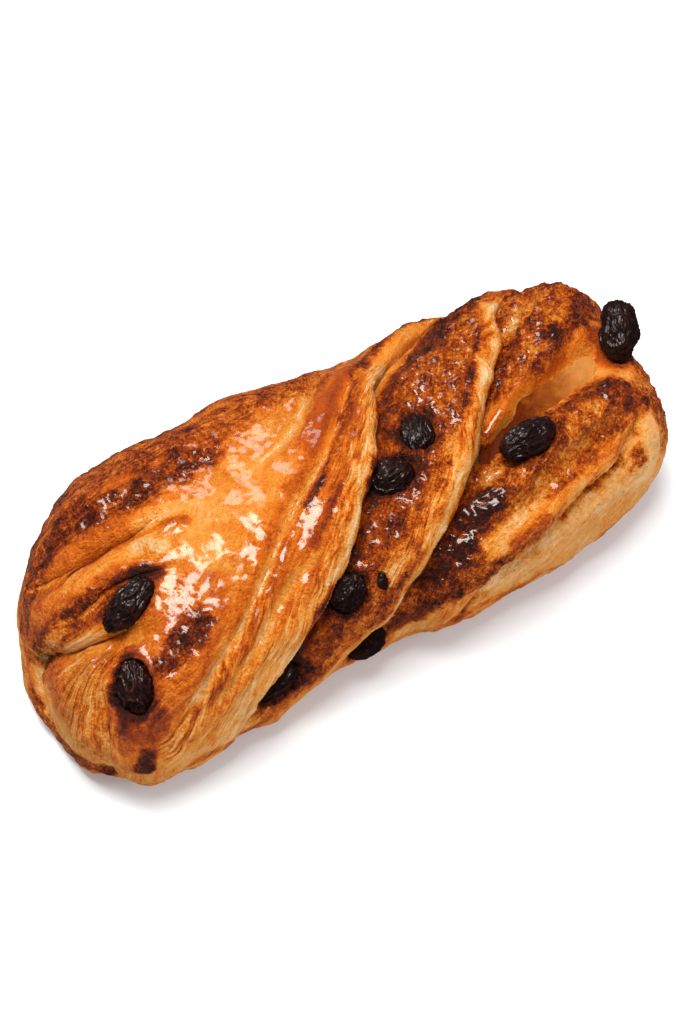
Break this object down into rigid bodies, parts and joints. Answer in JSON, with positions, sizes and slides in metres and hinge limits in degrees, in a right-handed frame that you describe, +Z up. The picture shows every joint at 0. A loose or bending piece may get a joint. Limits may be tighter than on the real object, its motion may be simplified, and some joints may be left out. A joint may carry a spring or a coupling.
{
  "type": "raisin pastry twist",
  "caption": "Long bar of glazed laminated dough, folded and twisted into overlapping strips, with raisins baked into the folds and a little custard in a hollow.",
  "frame": {"origin": "middle of the bounding box in plan, at the flat underside", "axes": "+X along the pastry towards the end with the open hollow, +Z up, -Y towards the camera side of the picture"},
  "size_m": [0.1647, 0.0765, 0.0477],
  "materials": {
    "crust": "egg-washed, browned crust with paler cut layers",
    "custard": "moist baked custard",
    "raisin": "wrinkled, slightly shiny"
  },
  "bodies": {
    "root": {"dough": "crust", "custard": "custard", "raisin_right_end": "raisin", "raisin_right_groove": "raisin", "raisin_middle_upper": "raisin", "raisin_middle_lower": "raisin", "raisin_under_lip": "raisin", "raisin_small": "raisin", "raisin_front_base": "raisin", "raisin_front_hollow": "raisin", "raisin_left_fold": "raisin", "raisin_left_glazed": "raisin", "raisin_back_fold": "raisin", "raisin_back_low": "raisin", "raisin_end_fold": "raisin"}
  },
  "joints": []
}
